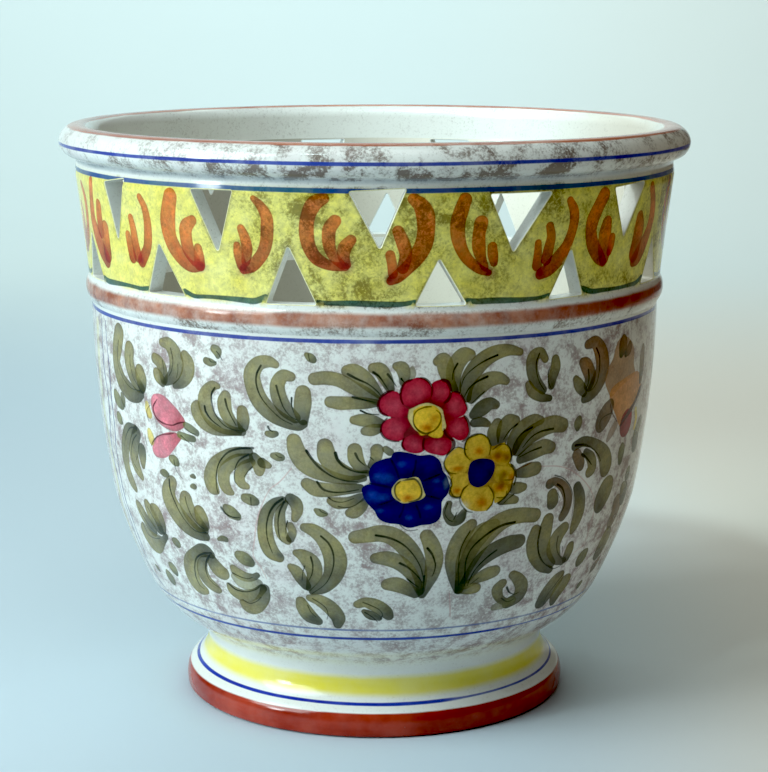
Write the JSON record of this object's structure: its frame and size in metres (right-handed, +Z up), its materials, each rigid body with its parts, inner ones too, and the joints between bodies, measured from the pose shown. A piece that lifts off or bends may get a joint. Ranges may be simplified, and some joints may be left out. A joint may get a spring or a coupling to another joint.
{
  "type": "ceramic flower pot",
  "caption": "Round glazed cachepot: rolled rim, gallery pierced by triangular openings, moulded rib, deep rounded bowl and spreading foot ring; stands free and holds a potted plant.",
  "frame": {"origin": "middle of the face that the pot stands on", "axes": "+Z up along the pot's axis, -Y towards the side that carries the bouquet, +X to the right of that side"},
  "size_m": [0.24, 0.24, 0.2208],
  "materials": {
    "foot_glaze": "glossy white tin glaze with painted yellow, blue and brick-red bands",
    "bowl_glaze": "glossy white tin glaze, sponged mauve grey and painted with leaves and flowers",
    "rib_glaze": "glossy white tin glaze with a soft brown-red band",
    "gallery_glaze": "glossy lemon-yellow glaze, sponged olive, with orange-red commas",
    "rim_glaze": "glossy white tin glaze, sponged mauve grey, with a cobalt line"
  },
  "bodies": {
    "root": {"foot_ring": "foot_glaze", "bowl": "bowl_glaze", "shoulder_rib": "rib_glaze", "pierced_gallery": "gallery_glaze", "rim": "rim_glaze"}
  },
  "joints": []
}
